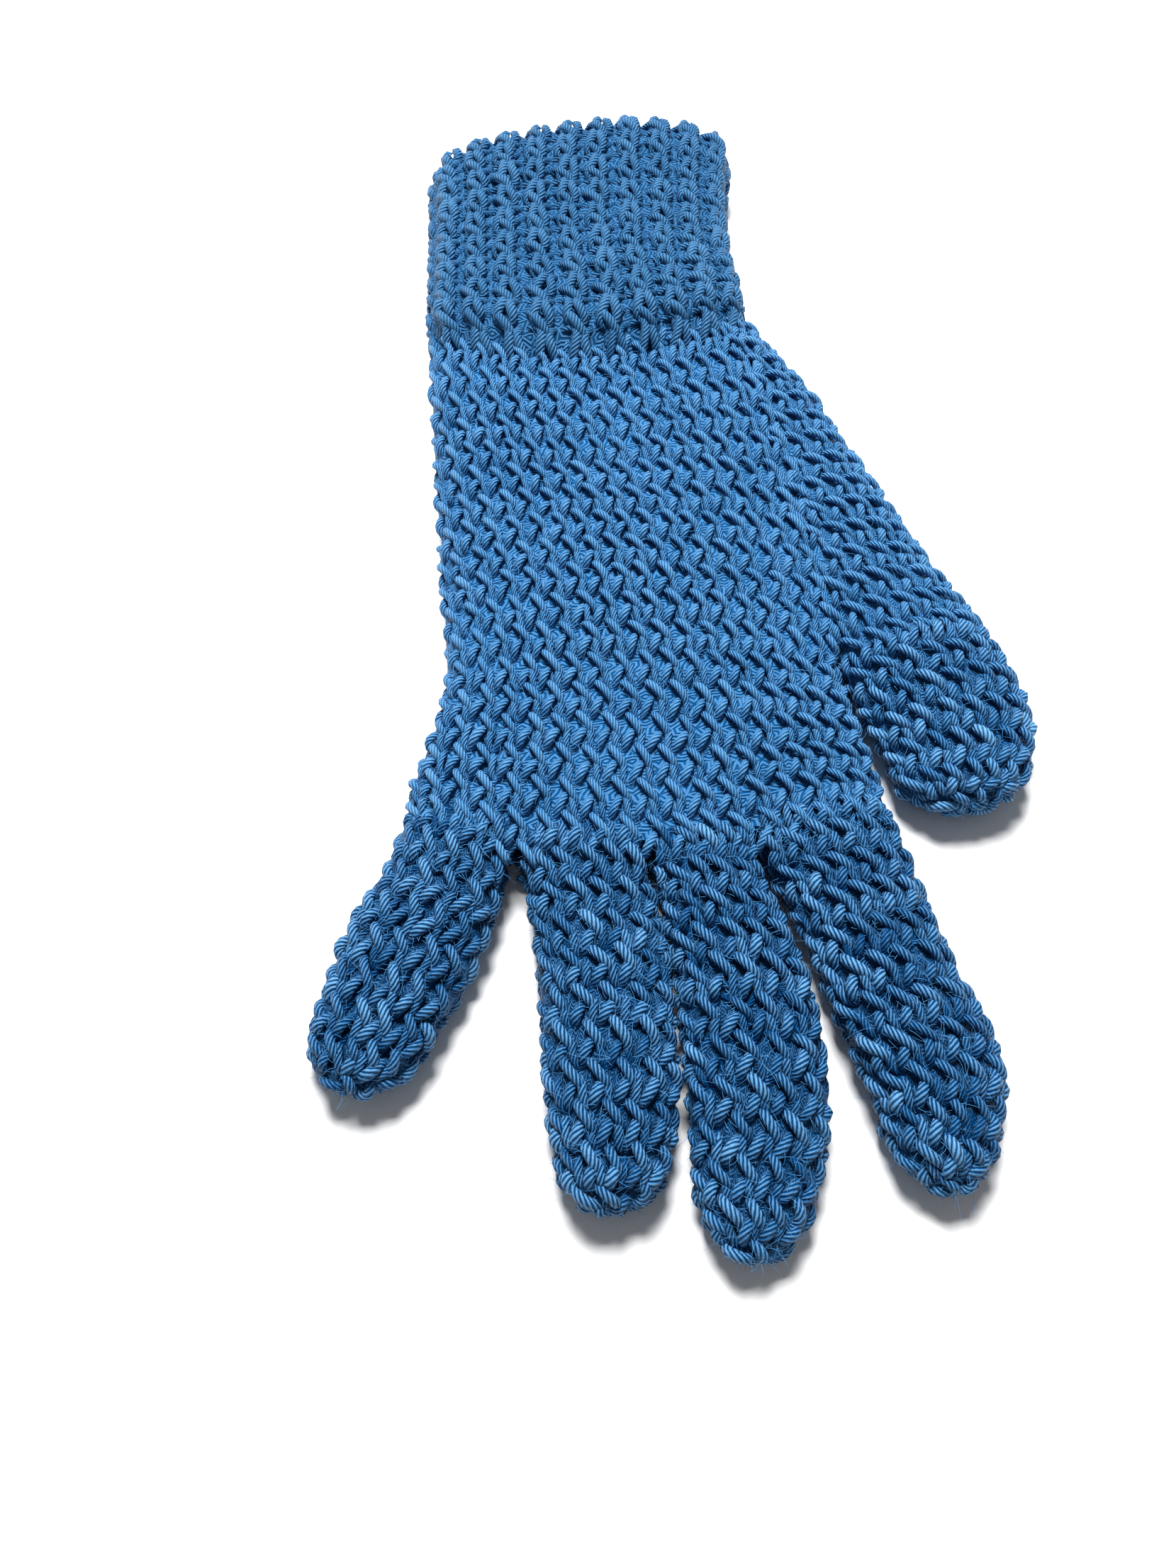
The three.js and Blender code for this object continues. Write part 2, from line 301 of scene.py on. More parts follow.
# Each digit: its sections, the place of its tip, and how round the tip is, less than 2 being pointed.
# The ring, middle and index finger touch where they lie side by side, so they are wider than their solids
DIGITS = {
    "little_finger": (
        [
            (-46.6, -46.8, -31.6, -52.6, 11.4, 0.0),
            (-54.2, -57.6, -33.6, -66.4, 13.4, 0.0),
            (-56.8, -67.3, -35.2, -74.6, 13.4, 0.0),
            (-61.2, -75.6, -38.0, -82.6, 13.2, 0.0),
            (-64.1, -83.6, -40.7, -90.1, 13.0, 0.0),
            (-66.4, -91.6, -44.4, -97.0, 12.4, 0.0),
        ],
        (-60.6, -108.1),
        2.0,
    ),
    "ring_finger": (
        [
            (-28.6, -51.0, -11.6, -50.0, 12.6, 0.0),
            (-31.2, -64.6, -8.8, -64.2, 13.0, 0.0),
            (-30.4, -74.2, -6.3, -73.8, 13.4, 0.0),
            (-28.8, -86.6, -4.2, -86.2, 13.8, 0.0),
            (-27.6, -98.6, -3.8, -98.2, 13.8, 0.0),
            (-26.2, -110.6, -4.0, -110.2, 13.2, 0.0),
            (-24.8, -118.2, -5.6, -117.8, 12.2, 0.0),
        ],
        (-15.6, -127.1),
        2.1,
    ),
    "middle_finger": (
        [
            (-6.4, -47.6, 7.4, -45.8, 13.0, 0.0),
            (-8.6, -62.6, 10.6, -61.6, 13.4, 0.0),
            (-6.3, -74.6, 14.8, -73.6, 14.0, 0.0),
            (-4.2, -86.6, 18.9, -86.1, 14.2, 0.0),
            (-3.6, -98.6, 21.0, -98.1, 14.2, 0.0),
            (-3.2, -110.6, 21.6, -110.1, 13.6, 0.0),
            (-2.6, -121.6, 19.4, -121.1, 12.0, 0.0),
        ],
        (7.4, -135.4),
        1.6,
    ),
    "index_finger": (
        [
            (13.0, -47.8, 32.2, -44.4, 12.0, 0.0),
            (10.7, -61.6, 38.0, -56.6, 13.6, 0.0),
            (15.2, -71.6, 41.0, -67.6, 14.0, 0.0),
            (19.2, -81.6, 43.6, -77.6, 14.2, 0.0),
            (22.4, -92.1, 46.4, -88.6, 14.2, 0.0),
            (25.4, -100.6, 49.8, -96.6, 14.0, 0.0),
            (28.0, -108.6, 51.0, -105.4, 13.4, 0.0),
            (29.6, -114.4, 49.7, -112.6, 12.2, 0.0),
        ],
        (40.3, -124.4),
        1.6,
    ),
    "thumb": (
        [
            (-2.0, 67.0, 20.6, 74.0, 11.0, 0.0),
            (2.0, 56.0, 25.3, 63.6, 12.6, 0.0),
            (6.0, 43.0, 32.6, 50.8, 13.8, 0.0),
            (11.0, 29.4, 38.5, 36.0, 14.6, 0.0),
            (15.6, 16.0, 44.6, 20.2, 15.2, 0.0),
            (20.8, 2.4, 50.6, 5.8, 15.6, 0.0),
            (25.8, -10.1, 56.4, -5.2, 15.6, 0.0),
            (30.4, -22.1, 61.0, -14.0, 15.4, 0.0),
            (32.9, -30.6, 65.0, -23.8, 15.2, 0.0),
            (35.4, -37.6, 67.3, -33.4, 14.8, 0.0),
            (38.2, -46.1, 66.6, -43.4, 13.6, 0.0),
        ],
        (51.8, -55.2),
        2.0,
    ),
}

# The line where the stitches of the palm meet those of the fingers, from the little finger's side
KNUCKLE_LINE = [
    (-95.0, -38.6),
    (-55.2, -54.2),
    (-32.2, -63.2),
    (-8.7, -62.8),
    (10.8, -60.8),
    (41.0, -53.8),
    (95.0, -41.0),
]

# The line where the stitches of the palm meet those of the thumb gusset, from the wrist to the fork
GUSSET_LINE = [
    (11.0, 90.0),
    (14.0, 70.0),
    (17.0, 60.0),
    (19.5, 48.0),
    (22.0, 34.0),
    (24.5, 20.0),
    (27.0, 7.0),
    (29.0, -5.0),
    (30.6, -16.6),
    (31.6, -24.4),
]
FORK = GUSSET_LINE[-1]

# The seam of the thumb starts at the fork and climbs by this much to its side
THUMB_SEAM_SLOPE = 0.25

# How far the stitches of neighbouring regions reach over their seam, and those of the palm over the
# knuckles
OVERLAP = 1.2
KNUCKLE_OVERLAP = 3.4


def unit(vectors):
    """Vectors scaled to a length of one."""
    return vectors / np.maximum(np.linalg.norm(vectors, axis=-1, keepdims=True), 1e-9)


def with_tip(rows, tip, power):
    """Adds the shrinking sections that close a digit: round with a power of 2, pointed with less."""
    last = np.array(rows[-1])
    left, right, top = last[0:2], last[2:4], last[4]
    centre = (left + right) / 2
    half = (right - left) / 2
    reach = np.array(tip) - centre
    reach *= 1 - INSET / np.linalg.norm(reach)
    inner = half * (1 - INSET / np.linalg.norm(half))
    edge = half - inner
    middle = top * MIDDLE_SHARE
    table = [tuple(row) + (0.0,) for row in rows]
    for step in TIP_STEPS:
        size = (1 - step**power) ** (1 / power)
        at = centre + reach * step
        out = inner * size + edge
        crown = middle + (top - middle - INSET) * size + INSET
        lift = (middle - INSET) * (1 - size)
        table.append((*(at - out), *(at + out), crown, 0.0, lift))
    return table


def resample(rows, spacing):
    """Sections every `spacing` along the edges of a tube, through the table's rows."""
    rows = np.array([row if len(row) == 7 else tuple(row) + (0.0,) for row in rows])
    edges = rows[:, 0:4] - rows[:, 5:6] * [0, 1, 0, 1]
    moved = np.diff(edges, axis=0)
    left, right = np.linalg.norm(moved[:, 0:2], axis=1), np.linalg.norm(moved[:, 2:4], axis=1)
    along = np.r_[0, np.cumsum((left + right) / 2)]
    count = int(round(along[-1] / spacing)) + 1
    wanted = np.linspace(0, along[-1], count)
    slope = np.gradient(rows, along, axis=0)
    k = np.clip(np.searchsorted(along, wanted, side="right") - 1, 0, len(along) - 2)
    gap = (along[k + 1] - along[k])[:, None]
    t = (wanted[:, None] - along[k][:, None]) / gap
    # Cubic curve through the rows
    return (
        (2 * t**3 - 3 * t**2 + 1) * rows[k]
        + (t**3 - 2 * t**2 + t) * gap * slope[k]
        + (3 * t**2 - 2 * t**3) * rows[k + 1]
        + (t**3 - t**2) * gap * slope[k + 1]
    )


def section(row, count):
    """Closed loop across a tube and its length: evenly spaced from the right edge over the top."""
    left, right, top, bow, lift = row[0:2], row[2:4], row[4], row[5], row[6]
    centre = (left + right) / 2
    across = (right - left) / 2
    half = np.linalg.norm(across)
    across = across / half
    half = half - INSET
    low = lift + INSET
    high = top - INSET
    middle = low + (high - low) * MIDDLE_SHARE
    angle = np.linspace(0, 2 * math.pi, OUTLINE_STEPS + 1)
    c, s = np.cos(angle), np.sin(angle)
    u = np.sign(c) * np.abs(c) ** (2 / ROUND_POWER)
    v = np.where(s < 0, -np.abs(s) ** (2 / FLOOR_POWER), np.abs(s) ** (2 / ROUND_POWER))
    rise = np.where(s < 0, middle - low, high - middle)
    x = centre[0] + across[0] * u * half
    y = centre[1] + across[1] * u * half - bow * (1 - u * u)
    z = np.maximum(low, middle + v * rise)
    points = np.stack([x, y, z], axis=1)
    length = np.r_[0, np.cumsum(np.linalg.norm(np.diff(points, axis=0), axis=1))]
    even = np.linspace(0, length[-1], count + 1)[:-1]
    loop = np.stack([np.interp(even, length, points[:, k]) for k in range(3)], axis=1)
    return loop, length[-1]


class Cloth:
    """The middle surface of a knitted tube as a grid: FINE sections for each course, ROUND points in each."""

    FINE = 4
    ROUND = 144

    def __init__(self, rows, course):
        self.rows = resample(rows, course / self.FINE)
        loops = [section(row, self.ROUND) for row in self.rows]
        self.grid = np.array([loop for loop, _ in loops])
        self.around = np.array([length for _, length in loops])
        self.courses = (len(self.rows) - 1) / self.FINE

    def finish(self):
        """Normals of the surface, once its shape is final."""
        down = np.gradient(self.grid, axis=0)
        turn = np.roll(self.grid, -1, axis=1) - np.roll(self.grid, 1, axis=1)
        self.normal = unit(np.cross(turn, down))

    def at(self, course, share, values):
        """Values of the grid at a course and a share of the way round."""
        r = np.clip(course * self.FINE, 0, len(self.rows) - 1.001)
        f = (share % 1.0) * self.ROUND
        r0 = np.floor(r).astype(int)
        f0 = np.floor(f).astype(int) % self.ROUND
        f1 = (f0 + 1) % self.ROUND
        tr, tf = (r - r0), (f - np.floor(f))
        if values.ndim == 3:
            tr, tf = tr[..., None], tf[..., None]
        near = values[r0, f0] * (1 - tf) + values[r0, f1] * tf
        far = values[r0 + 1, f0] * (1 - tf) + values[r0 + 1, f1] * tf
        return near * (1 - tr) + far * tr


def blur(field, sigma):
    """Smooths a grid of heights over `sigma` cells."""
    reach = int(3 * sigma)
    kernel = np.exp(-0.5 * (np.arange(-reach, reach + 1) / sigma) ** 2)
    kernel /= kernel.sum()
    for axis in (0, 1):
        field = np.apply_along_axis(lambda line: np.convolve(line, kernel, mode="same"), axis, field)
    return field


def blend_tops(cloths):
    """Fills the valleys on top of the glove, where its tubes run into each other."""
    top = np.zeros(VALLEY_CELLS)
    for cloth in cloths:
        fine = np.repeat(cloth.grid, 2, axis=0)
        fine[1:-1:2] = (fine[1:-1:2] + fine[2::2]) / 2
        wide = np.repeat(fine, 3, axis=1)
        after = np.roll(fine, -1, axis=1)
        wide[:, 1::3] = fine * 2 / 3 + after / 3
        wide[:, 2::3] = fine / 3 + after * 2 / 3
        cells = ((wide[..., :2] - VALLEY_CORNER) / VALLEY_CELL).astype(int)
        np.maximum.at(top, (cells[..., 0].ravel(), cells[..., 1].ravel()), wide[..., 2].ravel())
    top = blur(top, VALLEY_BLUR)
    for cloth in cloths:
        place = (cloth.grid[..., :2] - VALLEY_CORNER) / VALLEY_CELL - 0.5
        i = np.floor(place).astype(int)
        t = place - i
        a, b = i[..., 0], i[..., 1]
        level = (
            top[a, b] * (1 - t[..., 0]) * (1 - t[..., 1])
            + top[a + 1, b] * t[..., 0] * (1 - t[..., 1])
            + top[a, b + 1] * (1 - t[..., 0]) * t[..., 1]
            + top[a + 1, b + 1] * t[..., 0] * t[..., 1]
        )
        upper = np.arange(Cloth.ROUND) < Cloth.ROUND / 2
        z = cloth.grid[..., 2]
        cloth.grid[..., 2] = np.where(upper[None, :], np.maximum(z, level), z)


# Seams and regions of the glove, in x and y of the section tables

def line_y(line, x):
    points = sorted(line)
    return np.interp(x, [p[0] for p in points], [p[1] for p in points])


def line_x(line, y):
    points = sorted(line, key=lambda p: p[1])
    return np.interp(y, [p[1] for p in points], [p[0] for p in points])


def cuff_seam_y(x):
    """The first edge of the cuff, which bows towards the fingers."""
    left, right, bow = np.array(CUFF[0][0:2]), np.array(CUFF[0][2:4]), CUFF[0][5]
    u = np.clip((2 * x - left[0] - right[0]) / (right[0] - left[0]), -1, 1)
    return (left[1] + right[1]) / 2 + (right[1] - left[1]) / 2 * u - bow * (1 - u * u)


def thumb_seam_y(x):
    return FORK[1] + (x - FORK[0]) * THUMB_SEAM_SLOPE


def in_hand(x, y):
    return (y < cuff_seam_y(x) + OVERLAP) & (y > line_y(KNUCKLE_LINE, x) - KNUCKLE_OVERLAP)


def in_palm(x, y):
    beside = (x < line_x(GUSSET_LINE, y) + OVERLAP) | (y < FORK[1])
    return in_hand(x, y) & beside


def in_gusset(x, y):
    beside = x > line_x(GUSSET_LINE, y) - OVERLAP
    return (y < cuff_seam_y(x) + OVERLAP) & beside & (y > thumb_seam_y(x) - OVERLAP)


def in_thumb(x, y):
    return y < thumb_seam_y(x) + OVERLAP


def in_finger(x, y):
    return y < line_y(KNUCKLE_LINE, x) + OVERLAP


def everywhere(x, y):
    return np.ones_like(x, dtype=bool)


def knit_loop(table):
    """Evenly spaced points through a loop's table; the next stitch starts one width to the side."""
    knots = np.array(table)
    ahead = np.array([1.0, 0.0, 0.0, 0.0])
    wide = np.vstack([knots[-2:] - ahead, knots, knots[:2] + ahead])
    t = np.linspace(0, 1, CURVE_STEPS + 1)[:-1, None]
    dense = []
    for k in range(1, len(knots) + 1):
        p0, p1, p2, p3 = wide[k : k + 4]
        curve = 0.5 * (
            2 * p1
            + (p2 - p0) * t
            + (2 * p0 - 5 * p1 + 4 * p2 - p3) * t**2
            + (3 * p1 - p0 - 3 * p2 + p3) * t**3
        )
        dense.append(curve)
    # The last point is where the next stitch starts
    dense = np.vstack(dense + [knots[:1] + ahead])
    scaled = dense[:, :3] * np.array([WALE, COURSE, 1.0])
    length = np.r_[0, np.cumsum(np.linalg.norm(np.diff(scaled, axis=0), axis=1))]
    even = np.linspace(0, length[-1], STITCH_STEPS + 1)[:-1]
    return [np.interp(even, length, dense[:, k]) for k in range(4)]


class Piece:
    """Collects swept strands and turns them into one mesh."""

    def __init__(self, name):
        self.name = name
        self.verts, self.quads, self.uv, self.tone_with_shade = [], [], [], []
        self.count = 0

    def strand(self, points, normals, tones_with_shade, closed, radius):
        """Sweeps a round strand along points; `normals` keep its frame from spinning."""
        if closed:
            before, after = np.roll(points, 1, axis=0), np.roll(points, -1, axis=0)
        else:
            before = np.vstack([points[:1], points[:-1]])
            after = np.vstack([points[1:], points[-1:]])
        tangent = unit(after - before)
        side = unit(np.cross(tangent, normals))
        up = np.cross(side, tangent)
        step = np.linalg.norm(np.diff(points, axis=0), axis=1)
        length = np.r_[0, np.cumsum(step)]
        n = len(points)
        if not closed:
            from_end = np.minimum(np.arange(n), np.arange(n)[::-1])
            radius = radius * np.clip(from_end / END_POINTS, END_RADIUS, 1)
        angle = np.arange(STRAND_SIDES) * 2 * math.pi / STRAND_SIDES
        ring = side[:, None] * np.cos(angle)[None, :, None] + up[:, None] * np.sin(angle)[None, :, None]
        verts = points[:, None] + ring * radius[:, None, None]
        rows = n if closed else n - 1
        a = np.arange(rows)[:, None] * STRAND_SIDES + np.arange(STRAND_SIDES)[None]
        b = np.arange(rows)[:, None] * STRAND_SIDES + (np.arange(STRAND_SIDES)[None] + 1) % STRAND_SIDES
        up_a = (a + STRAND_SIDES) % (n * STRAND_SIDES)
        up_b = (b + STRAND_SIDES) % (n * STRAND_SIDES)
        quads = np.stack([a, up_a, up_b, b], axis=2).reshape(-1, 4)
        whole = np.r_[length, length[-1] + np.linalg.norm(points[0] - points[-1])]
        u0, u1 = whole[:rows], whole[1 : rows + 1]
        v0 = np.arange(STRAND_SIDES) / STRAND_SIDES
        v1 = v0 + 1 / STRAND_SIDES
        one = np.ones((rows, STRAND_SIDES))
        corner = [(u0, v0), (u1, v0), (u1, v1), (u0, v1)]
        uv = np.stack([np.stack([one * u[:, None], one * v[None]], axis=2) for u, v in corner], axis=2)
        self.verts.append(verts.reshape(-1, 3))
        self.quads.append(quads + self.count)
        self.uv.append(uv.reshape(-1, 2))
        self.tone_with_shade.append(np.repeat(tones_with_shade, STRAND_SIDES))
        self.count += n * STRAND_SIDES

    def backing(self, points, shown, tone_with_shade):
        """Adds the felted inner face of the cloth, a grid behind its stitches, where `shown` says."""
        rows, wide = points.shape[:2]
        first = np.arange(rows - 1)[:, None] * wide
        a = first + np.arange(wide)[None]
        b = first + (np.arange(wide)[None] + 1) % wide
        quads = np.stack([a, b, b + wide, a + wide], axis=2)[shown]
        used, quads = np.unique(quads, return_inverse=True)
        row, column = np.divmod(used, wide)
        swirl = FELT_SWIRL * np.sin(FELT_TURNS[0] * row + FELT_TURNS[1] * column)
        quads = quads.reshape(-1, 4)
        self.verts.append(points.reshape(-1, 3)[used])
        self.quads.append(quads + self.count)
        self.uv.append(np.stack([swirl[quads].ravel(), np.zeros(quads.size)], axis=1))
        self.tone_with_shade.append(np.full(len(used), tone_with_shade))
        self.count += len(used)

    def build(self, material, nodes):
        verts = np.vstack(self.verts) * MM
        quads = np.vstack(self.quads)
        mesh = bpy.data.meshes.new(self.name)
        mesh.vertices.add(len(verts))
        mesh.vertices.foreach_set("co", verts.ravel())
        mesh.loops.add(quads.size)
        mesh.loops.foreach_set("vertex_index", quads.ravel().astype(np.int32))
        mesh.polygons.add(len(quads))
        mesh.polygons.foreach_set("loop_start", np.arange(0, quads.size, 4, dtype=np.int32))
        mesh.update(calc_edges=True)
        mesh.polygons.foreach_set("use_smooth", np.ones(len(quads), dtype=bool))
        layer = mesh.uv_layers.new(name="yarn")
        layer.data.foreach_set("uv", np.vstack(self.uv).ravel())
        tone_with_shade = mesh.attributes.new("tone_with_shade", "FLOAT", "POINT")
        tone_with_shade.data.foreach_set("value", np.concatenate(self.tone_with_shade))
        mesh.materials.append(material)
        made = bpy.data.objects.new(self.name, mesh)
        bpy.context.scene.collection.objects.link(made)
        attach(made, "root")
        for node in nodes:
            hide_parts(node)


def wander(points, phases):
    """How far the slow wandering of hand-knitted cloth moves each point, in x, y and z."""
    x, y = points[:, 0], points[:, 1]
    moved = []
    for axis, (reach, over_x, over_y) in enumerate(WANDER):
        first, second = phases[2 * axis : 2 * axis + 2]
        moved.append(reach * np.sin(x / over_x + first) * np.cos(y / over_y + second))
    return np.stack(moved, axis=1)


def stitches_round(girth, wales):
    """How many stitches a course has, and their width as a share of the way round."""
    if wales is None:
        return max(2, int(girth / WALE / 2) * 2), WALE / girth
    if girth > wales * NARROWEST_STITCH:
        return wales, 1.0 / wales
    count = max(FEWEST_STITCHES, int(girth / TIP_STITCH))
    return count, 1.0 / count


def columns(count, pitch, ribbed):
    """Middle and width of each stitch of a course as shares of the way round, and whether it is raised."""
    index = np.arange(count)
    if not ribbed:
        return -index * pitch, np.full(count, pitch), np.ones(count, dtype=bool)
    raised = index % 2 == 0
    middle = np.where(raised, RAISED_SHARE / 2, (1 + RAISED_SHARE) / 2)
    width = np.where(raised, RAISED_SHARE, 1 - RAISED_SHARE)
    return -(index // 2 + middle) * 2 * pitch, width * 2 * pitch, raised


def knit(cloth, keep, pieces, rng, yarn, face, wales=None, ribbed=False, loose=1.0):
    """Knits a tube course by course. `pieces` are the meshes that its top and its underside join.

    Without `wales` the stitches keep their width and stay lined up with the edge of the tube, as they do
    in the gusset, where their number changes.
    """
    anchored = wales is None
    shapes = [knit_loop(RIB_LOOP if ribbed else PLAIN_LOOP), knit_loop(TWISTED_LOOP)]
    phases = rng.uniform(0, 2 * math.pi, 6)
    last = int(math.floor(cloth.courses))
    for row in range(last + 1):
        girth = np.interp(row * cloth.FINE, np.arange(len(cloth.around)), cloth.around)
        count, pitch = stitches_round(girth, wales)
        centre, width, raised = columns(count, pitch, ribbed)
        lean = LEAN * row + (PLAIN_SHIFT if row % 2 == 0 else 0.0)
        if anchored:
            centre = centre + (count / 2 - 0.5 - lean % 1.0) * pitch
        elif not ribbed:
            centre = centre - lean * pitch
        side, along, out, thick = shapes[row % 2]
        jitter = rng.normal(0, loose, (count, 6))
        tall = 1 + UNEVEN_HEIGHT * jitter[:, 0]
        slip = UNEVEN_SLIP * jitter[:, 4] + UNEVEN_SLIP * rng.normal(0, loose)
        tilt = UNEVEN_TILT * jitter[:, 5][:, None] * along[None]
        share = centre[:, None] - (side[None] + slip[:, None] + tilt) * width[:, None]
        level = row + along[None] * tall[:, None] + UNEVEN_PLACE * jitter[:, 1][:, None]
        lift = out[None] + UNEVEN_LIFT * jitter[:, 2][:, None]
        if ribbed:
            # Beside each raised loop the yarn runs straight across and sinks into the cloth
            flat = np.linspace(-0.5, 0.5, STITCH_STEPS, endpoint=False)
            sunk_share = centre[:, None] - flat[None] * width[:, None]
            sunk_lift = out[0] + (SUNK_LIFT - out[0]) * np.cos(np.pi * flat)
            up = raised[:, None]
            share = np.where(up, share, sunk_share)
            level = np.where(up, level, row + along[0])
            lift = np.where(up, lift * RAISED_HEIGHT[row % 2], sunk_lift[None])
            crest = (share - centre[:, None]) / (2 * pitch) + np.where(up, 0.0, 0.5)
            lift = lift + RIB_RELIEF * np.cos(2 * math.pi * crest)
        base = cloth.at(level.ravel(), share.ravel(), cloth.grid)
        normal = unit(cloth.at(level.ravel(), share.ravel(), cloth.normal))
        points = base + normal * lift.ravel()[:, None] + wander(base, phases)
        points[:, :2] += TABLE_SHIFT
        plump = np.repeat(jitter[:, 3], STITCH_STEPS)
        radii = yarn * np.tile(thick, count) * (1 + UNEVEN_YARN * plump)
        points[:, 2] = np.maximum(points[:, 2], radii + YARN_ROOM)
        # Tone: the stitches' own uneven tone, and painted shade that darkens the yarn where it sinks into the
        # cloth
        tones_with_shade = TONE_MIDDLE + TONE_UNEVEN * plump + PAINTED_SHADE_BY_LIFT * np.clip(lift.ravel(), *PAINTED_SHADE_LIFTS)
        at = cloth.at(np.full(count, float(row)), centre, cloth.grid)
        kept = keep(at[:, 0], at[:, 1])
        over = (centre % 1.0) < 0.5
        group = np.where(kept, np.where(over, 1, 2), 0)
        lay_strands(pieces, group, points, normal, tones_with_shade, radii, anchored)
    lay_backing(cloth, keep, pieces, face)


def lay_backing(cloth, keep, pieces, face):
    """Lays the inner face of a tube behind its stitches, reaching a little further to the wrist."""
    # The inner face's low tone is painted shade in the gaps between the stitches
    depth, tone_with_shade = face
    normal = cloth.normal[::INNER_STEP, ::INNER_STEP]
    flat = np.abs(normal[..., 2:3])
    middle = cloth.grid[::INNER_STEP, ::INNER_STEP]
    inner = middle - normal * (depth * flat - EDGE_FILL * (1 - flat))
    inner[..., :2] += TABLE_SHIFT
    inner[..., 2] = np.maximum(inner[..., 2], HAND_YARN)
    shown = keep(middle[:-1, :, 0], middle[:-1, :, 1] - INNER_REACH)
    half = inner.shape[1] // 2
    for piece, first, end in ((pieces[0], 0, half), (pieces[1], half, 2 * half)):
        mine = np.zeros_like(shown)
        mine[:, first:end] = shown[:, first:end]
        if mine.any():
            piece.backing(inner, mine, tone_with_shade)


def lay_strands(pieces, group, points, normal, tones_with_shade, radii, open_row):
    """Splits a course into runs of stitches that stay together and sweeps each.

    `group` says for each stitch whether it is left out (0), on top (1) or underneath (2).
    """
    count = len(group)
    size = STITCH_STEPS
    label = np.minimum(group, 1) if pieces[0] is pieces[1] else group
    if not open_row and label[0] and np.all(label == label[0]):
        pieces[label[0] - 1].strand(points, normal, tones_with_shade, True, radii)
        return
    starts = [k for k in range(count) if label[k] and label[k - 1] != label[k]]
    if open_row and label[0] and 0 not in starts:
        starts.append(0)
    for start in starts:
        end = start
        while end + 1 < start + count and label[(end + 1) % count] == label[start]:
            if open_row and end + 1 >= count:
                break
            end += 1
        joins_next = 0 if open_row and end + 1 >= count else 1
        where = np.arange(start * size, (end + 1) * size + joins_next) % (count * size)
        pieces[label[start] - 1].strand(points[where], normal[where], tones_with_shade[where], False, radii[where])


def loose_fibres(name, strewn, rng, material):
    """Fine hairs as narrow curved ribbons that lie over the stitches.

    A row of `strewn` is a cloth, the region that keeps them, how many are strewn and their usual length.
    """
    lines = []
    faces = []
    for cloth, keep, count, usual in strewn:
        level = rng.uniform(0, cloth.courses, count)
        share = rng.uniform(0, 1, count)
        root = cloth.at(level, share, cloth.grid)
        out = cloth.at(level, share, cloth.normal)
        shown = keep(root[:, 0], root[:, 1])
        root, out = root[shown], unit(out[shown])
        along = unit(np.cross(out, rng.normal(0, 1, out.shape)) * [1.0, 1.0, FIBRE_DROOP])
        length = rng.gamma(FIBRE_EVENNESS, usual / FIBRE_EVENNESS, len(root))[:, None, None]
        curl = rng.normal(0, FIBRE_CURL, len(root))[:, None, None]
        rise = rng.uniform(*FIBRE_RISE, len(root))[:, None, None] * np.minimum(1, SHORT_FIBRE / length)
        t = np.linspace(0, 1, FIBRE_STEPS + 1)[None, :, None]
        aside = np.cross(out, along)[:, None]
        line = along[:, None] * t + aside * curl * t * t + out[:, None] * rise * (t - FIBRE_FALL * t * t)
        lines.append(root[:, None] + out[:, None] * FIBRE_ROOT + line * length)
        faces.append(np.repeat(out[:, None], FIBRE_STEPS + 1, axis=1))
    points, up = np.concatenate(lines), np.concatenate(faces)
    points[..., :2] += TABLE_SHIFT
    points[..., 2] = np.maximum(points[..., 2], FIBRE_ROOM)
    ahead = np.gradient(points, axis=1)
    side = unit(np.cross(ahead, up))
    half = FIBRE_WIDTH / 2 * np.linspace(1, FIBRE_TIP, FIBRE_STEPS + 1)[None, :, None]
    verts = np.stack([points - side * half, points + side * half], axis=2).reshape(-1, 3)
    first = np.arange(len(points))[:, None] * 2 * (FIBRE_STEPS + 1) + np.arange(FIBRE_STEPS)[None] * 2
    quads = np.stack([first, first + 1, first + 3, first + 2], axis=2).reshape(-1, 4)
    mesh = bpy.data.meshes.new(name)
    mesh.from_pydata((verts * MM).tolist(), [], quads.tolist())
    mesh.materials.append(material)
    made = bpy.data.objects.new(name, mesh)
    bpy.context.scene.collection.objects.link(made)
    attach(made, "root")


# Materials

# Blue wool yarn: six strands twisted together, one ridge every 0.95 mm along the yarn
TWIST_PITCH = 0.95
STRANDS = 6.0

# Noises over the yarn, in grains per metre. Its fibres are 0.03 mm wide, too fine to show, so they are
# drawn one every 0.4 mm; the dye is patchy over about 6 mm
FIBRE_GRAIN = 2600.0
DYE_GRAIN = 160.0

# Colour of the yarn: how much its twist counts, as painted highlight on the crests of the plies and painted
# shade in their grooves, how much its fibres, its dye and its tone in the cloth count, the tone carrying
# painted shade too, and the sum of them at which it is lightest
TWIST_LIGHT_AND_SHADE_SHARE = 0.6
FIBRE_SHARE = 0.35
DYE_SHARE = 0.2
TONE_AND_SHADE_SHARE = 0.45
LIGHTEST = 1.42

# Relief of the twist in metres, and that of the fibres as a share of it
TWIST_RELIEF = 0.00024
FIBRE_RELIEF = 0.25


def linear(hex_colour):
    """Linear colour of an sRGB hex value."""
    values = [int(hex_colour[k : k + 2], 16) / 255 for k in (1, 3, 5)]
    return [v / 12.92 if v <= 0.04045 else ((v + 0.055) / 1.055) ** 2.4 for v in values] + [1.0]


def node(tree, kind, inputs=(), **settings):
    """Adds a node with its settings; inputs maps a socket to a value or to another node's output."""
    made = tree.nodes.new(kind)
    for key, value in settings.items():
        setattr(made, key, value)
    for socket, value in dict(inputs).items():
        if isinstance(value, bpy.types.NodeSocket):
            tree.links.new(value, made.inputs[socket])
        else:
            made.inputs[socket].default_value = value
    return made


